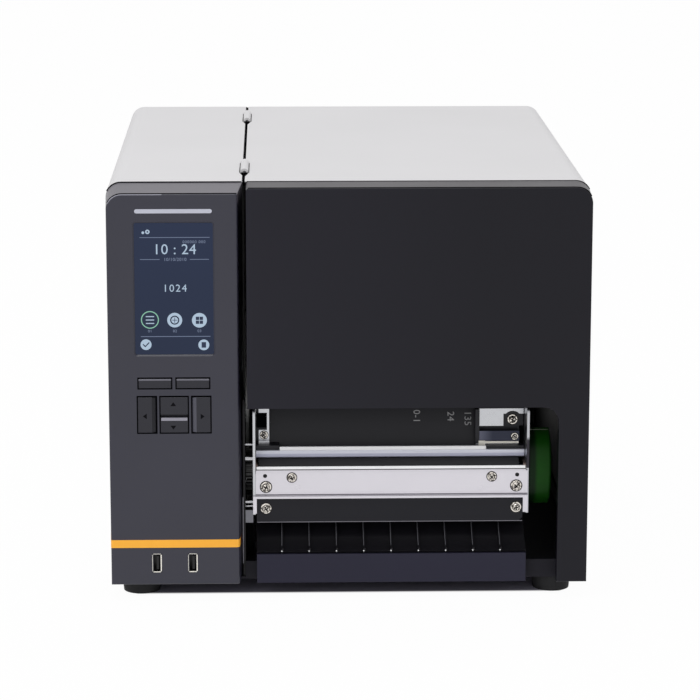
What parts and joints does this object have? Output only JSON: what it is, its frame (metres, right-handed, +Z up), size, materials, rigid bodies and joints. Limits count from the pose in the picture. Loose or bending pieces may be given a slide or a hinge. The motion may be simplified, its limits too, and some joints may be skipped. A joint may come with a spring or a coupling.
{
  "type": "label printer",
  "caption": "Label printer with hinged media cover, display and key pad, platen roller, lifting print head, release lever, ribbon spindles and label roll hanger.",
  "frame": {"origin": "on the table, under the middle of the body", "axes": "+Z up, -Y towards the front with the display, +X to the right seen from the front"},
  "size_m": [0.3931, 0.5038, 0.3444],
  "materials": {
    "pan_steel": "satin",
    "foot_rubber": "matte",
    "wall_steel": "satin",
    "cover_paint": "satin",
    "rear_paint": "satin",
    "fascia_plastic": "matte",
    "accent_orange": "satin",
    "light_guide": "gloss",
    "display_glass": "gloss",
    "display_frame": "matte",
    "board_green": "satin",
    "socket_steel": "gloss",
    "low_cover_plastic": "matte",
    "chute_plastic": "matte",
    "plate_steel": "brushed",
    "black_steel": "matte",
    "screw_steel": "gloss",
    "bush_brass": "satin",
    "turned_steel": "satin",
    "head_aluminium": "satin",
    "motor_black": "satin",
    "case_aluminium": "satin",
    "inlet_plastic": "satin",
    "door_plastic": "matte",
    "window_glass": "gloss",
    "roller_rubber": "matte",
    "gear_plastic": "satin",
    "lever_green": "satin",
    "spindle_plastic": "satin",
    "key_plastic": "satin",
    "rocker_plastic": "gloss"
  },
  "bodies": {
    "chassis": {"base_pan": "pan_steel", "rubber_feet": "foot_rubber", "centre_wall": "wall_steel", "left_cover": "cover_paint", "rear_panel": "rear_paint", "front_fascia": "fascia_plastic", "accent_strip": "accent_orange", "status_light": "light_guide", "display_lens": "display_glass", "display_module": "display_frame", "control_board": "board_green", "front_usb_sockets": "socket_steel", "lower_front_cover": "low_cover_plastic", "exit_chute": "chute_plastic", "left_side_plate": "plate_steel", "right_side_plate": "plate_steel", "front_plate": "plate_steel", "tear_bar": "plate_steel", "lower_plate": "black_steel", "plate_screws": "screw_steel", "platen_bushes": "bush_brass", "mechanism_studs": "turned_steel", "head_pivot_shaft": "turned_steel", "feed_table": "black_steel", "media_hanger": "head_aluminium", "spindle_bearings": "spindle_plastic", "hinge_leaves": "cover_paint", "hinge_pins": "turned_steel", "drive_motor": "motor_black", "main_board": "board_green", "power_supply": "case_aluminium", "power_inlet": "inlet_plastic", "data_sockets": "socket_steel"},
    "media_cover": {"door_front": "door_plastic", "door_cover": "cover_paint", "door_window": "window_glass", "door_hinge_arms": "cover_paint"},
    "platen": {"platen_roller": "roller_rubber", "platen_shaft": "turned_steel", "platen_gear": "gear_plastic"},
    "idler": {"idler_gear": "gear_plastic"},
    "motor_rotor": {"motor_pinion": "turned_steel"},
    "head": {"head_frame": "black_steel", "print_head": "head_aluminium", "head_brackets": "plate_steel", "head_screws": "screw_steel"},
    "head_lever": {"release_lever": "lever_green"},
    "supply_spindle": {"ribbon_supply_spindle": "spindle_plastic"},
    "rewind_spindle": {"ribbon_rewind_spindle": "spindle_plastic"},
    "guard": {"roll_guard": "spindle_plastic"},
    "edge_guide": {"media_guide": "spindle_plastic"},
    "tension_bar": {"tension_arm": "turned_steel"},
    "left_soft_key": {"soft_key_left": "key_plastic"},
    "right_soft_key": {"soft_key_right": "key_plastic"},
    "left_key": {"nav_key_left": "key_plastic"},
    "right_key": {"nav_key_right": "key_plastic"},
    "up_key": {"nav_key_up": "key_plastic"},
    "down_key": {"nav_key_down": "key_plastic"},
    "rocker": {"power_rocker": "rocker_plastic"}
  },
  "joints": [
    {"name": "cover_swing", "type": "hinge", "parent": "chassis", "child": "media_cover", "pos_m": [-0.08485, 0, 0.341], "axis": [0, -1, 0], "range_deg": [0, 100]},
    {"name": "platen_spin", "type": "hinge", "parent": "chassis", "child": "platen", "pos_m": [0, -0.213, 0.1012], "axis": [1, 0, 0], "continuous": true},
    {"name": "idler_spin", "type": "hinge", "parent": "chassis", "child": "idler", "pos_m": [-0.082, -0.19006, 0.08514], "axis": [1, 0, 0], "continuous": true},
    {"name": "motor_spin", "type": "hinge", "parent": "chassis", "child": "motor_rotor", "pos_m": [-0.082, -0.17075, 0.07996], "axis": [1, 0, 0], "continuous": true},
    {"name": "lever_turn", "type": "hinge", "parent": "chassis", "child": "head_lever", "pos_m": [0.157, -0.198, 0.1022], "axis": [-1, 0, 0], "range_deg": [0, 80]},
    {"name": "head_lift", "type": "hinge", "parent": "chassis", "child": "head", "pos_m": [0, -0.15, 0.148], "axis": [-1, 0, 0], "range_deg": [0, 12]},
    {"name": "supply_spin", "type": "hinge", "parent": "chassis", "child": "supply_spindle", "pos_m": [0, -0.04, 0.262], "axis": [1, 0, 0], "continuous": true},
    {"name": "rewind_spin", "type": "hinge", "parent": "chassis", "child": "rewind_spindle", "pos_m": [0, -0.165, 0.24], "axis": [1, 0, 0], "continuous": true},
    {"name": "guard_slide", "type": "slide", "parent": "chassis", "child": "guard", "axis": [1, 0, 0], "range_m": [-0.15, 0]},
    {"name": "edge_guide_slide", "type": "slide", "parent": "chassis", "child": "edge_guide", "axis": [1, 0, 0], "range_m": [-0.12, 0]},
    {"name": "tension_swing", "type": "hinge", "parent": "chassis", "child": "tension_bar", "pos_m": [0, -0.127, 0.117], "axis": [1, 0, 0], "range_deg": [0, 25], "stiffness_Nm_per_rad": 0.4, "springref_deg": -11.46},
    {"name": "rocker_tilt", "type": "hinge", "parent": "chassis", "child": "rocker", "pos_m": [-0.1505, 0.2415, 0.0795], "axis": [-1, 0, 0], "range_deg": [0, 16]},
    {"name": "soft_left_press", "type": "slide", "parent": "chassis", "child": "left_soft_key", "axis": [0, 1, 0], "range_m": [0, 0.0008], "stiffness_N_per_m": 500},
    {"name": "soft_right_press", "type": "slide", "parent": "chassis", "child": "right_soft_key", "axis": [0, 1, 0], "range_m": [0, 0.0008], "stiffness_N_per_m": 500},
    {"name": "left_press", "type": "slide", "parent": "chassis", "child": "left_key", "axis": [0, 1, 0], "range_m": [0, 0.0008], "stiffness_N_per_m": 500},
    {"name": "right_press", "type": "slide", "parent": "chassis", "child": "right_key", "axis": [0, 1, 0], "range_m": [0, 0.0008], "stiffness_N_per_m": 500},
    {"name": "up_press", "type": "slide", "parent": "chassis", "child": "up_key", "axis": [0, 1, 0], "range_m": [0, 0.0008], "stiffness_N_per_m": 500},
    {"name": "down_press", "type": "slide", "parent": "chassis", "child": "down_key", "axis": [0, 1, 0], "range_m": [0, 0.0008], "stiffness_N_per_m": 500}
  ],
  "couplings": [
    {"joint": "idler_spin", "follows": "platen_spin", "ratio": -1.3333},
    {"joint": "motor_spin", "follows": "platen_spin", "ratio": 2},
    {"joint": "head_lift", "follows": "lever_turn", "ratio": 0.15}
  ]
}
